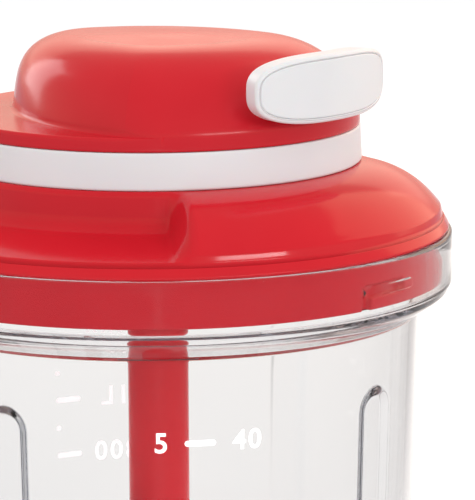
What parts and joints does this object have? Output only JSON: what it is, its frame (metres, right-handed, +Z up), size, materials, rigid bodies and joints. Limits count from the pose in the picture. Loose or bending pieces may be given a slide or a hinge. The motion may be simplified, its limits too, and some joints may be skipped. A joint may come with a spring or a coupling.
{
  "type": "pull-cord food chopper",
  "caption": "Hand-pulled food chopper: clear round container, red twist-lock cover and grip, white band, white pull handle on a spring-returned cord that spins a bladed column.",
  "frame": {"origin": "on the vertical axis, in the plane that the base ring stands on", "axes": "+Z up along the blade axis, +X the way the handle is pulled, +Y to the left of the pull"},
  "size_m": [0.1548, 0.1548, 0.1908],
  "materials": {
    "clear_plastic": "clear, polished",
    "red_plastic": "gloss red",
    "white_plastic": "satin white",
    "grey_plastic": "moulded grey",
    "natural_acetal": "natural white",
    "blade_steel": "ground",
    "plain_steel": "plain",
    "cord_fibre": "braided white",
    "soft_rubber": "matte pale grey"
  },
  "bodies": {
    "container": {"container": "clear_plastic", "base_ring": "soft_rubber", "pivot_pin": "plain_steel"},
    "blade_unit": {"blade_column": "red_plastic", "lower_blade": "blade_steel", "middle_blade": "blade_steel", "upper_blade": "blade_steel"},
    "axle": {"axle": "plain_steel", "thrust_washer": "natural_acetal"},
    "cover": {"lower_cover": "red_plastic", "trim_band": "white_plastic", "grip_housing": "red_plastic", "mechanism_plate": "grey_plastic", "drive_bush": "natural_acetal", "cord_guide": "natural_acetal", "plate_screws": "plain_steel", "cover_screws": "plain_steel"},
    "reel": {"cord_reel": "grey_plastic", "cord_winding": "cord_fibre", "recoil_spring": "plain_steel", "spring_cover": "grey_plastic", "reel_screws": "plain_steel", "drive_coupling": "grey_plastic"},
    "handle": {"handle_shell": "white_plastic", "handle_face": "white_plastic", "cord_stop": "plain_steel", "pull_cord": "cord_fibre"}
  },
  "joints": [
    {"name": "cover_lift", "type": "slide", "parent": "container", "child": "axle", "axis": [0, 0, 1], "range_m": [0, 0.15]},
    {"name": "cover_turn", "type": "hinge", "parent": "axle", "child": "cover", "pos_m": [0, 0, 0.14], "axis": [0, 0, -1], "range_deg": [0, 10]},
    {"name": "reel_spin", "type": "hinge", "parent": "axle", "child": "reel", "pos_m": [0, 0, 0.17], "axis": [0, 0, -1], "range_deg": [0, 1210]},
    {"name": "handle_pull", "type": "slide", "parent": "cover", "child": "handle", "axis": [1, 0, 0], "range_m": [0, 0.4], "stiffness_N_per_m": 15, "springref_m": -0.3, "deforming": ["pull_cord"]},
    {"name": "blade_spin", "type": "hinge", "parent": "container", "child": "blade_unit", "pos_m": [0, 0, 0.02], "axis": [0, 0, -1], "range_deg": [0, 1210]}
  ],
  "couplings": [
    {"joint": "reel_spin", "follows": "handle_pull", "rad_per_m": 52.63},
    {"joint": "blade_spin", "follows": "handle_pull", "rad_per_m": 52.63}
  ]
}
